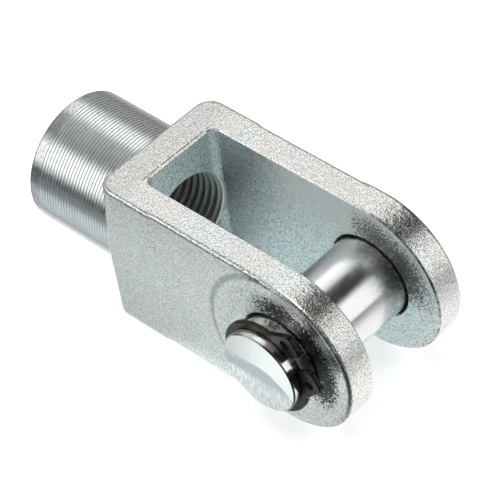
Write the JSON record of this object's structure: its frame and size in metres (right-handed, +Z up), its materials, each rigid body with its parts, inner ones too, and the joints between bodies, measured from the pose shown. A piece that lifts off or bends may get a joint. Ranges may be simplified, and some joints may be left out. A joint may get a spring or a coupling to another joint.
{
  "type": "clevis rod end",
  "caption": "Forged steel fork with a threaded round shank, a plain clevis pin across its arms and a retaining ring in a groove near each end of the pin.",
  "frame": {"origin": "where the pin's axis crosses the rod's axis, midway between the arms", "axes": "+X along the rod's axis towards the open end of the fork, +Y along the pin's axis, +Z up from the flat side it lies on"},
  "size_m": [0.0783, 0.0371, 0.0312],
  "materials": {
    "plated_fork": "pale zinc plate over a blasted forging, turned bright on the shank",
    "bright_pin": "ground bright and plated",
    "black_spring": "black phosphate with a trace of oil"
  },
  "bodies": {
    "fork": {"fork_body": "plated_fork"},
    "rings": {"near_retaining_ring": "black_spring", "far_retaining_ring": "black_spring"},
    "pin": {"clevis_pin": "bright_pin"}
  },
  "joints": [
    {"name": "pin_slide", "type": "slide", "parent": "fork", "child": "rings", "axis": [0, 1, 0], "range_m": [0, 0.00265]},
    {"name": "pin_turn", "type": "hinge", "parent": "rings", "child": "pin", "pos_m": [0, 0, 0], "axis": [0, 1, 0], "continuous": true}
  ]
}
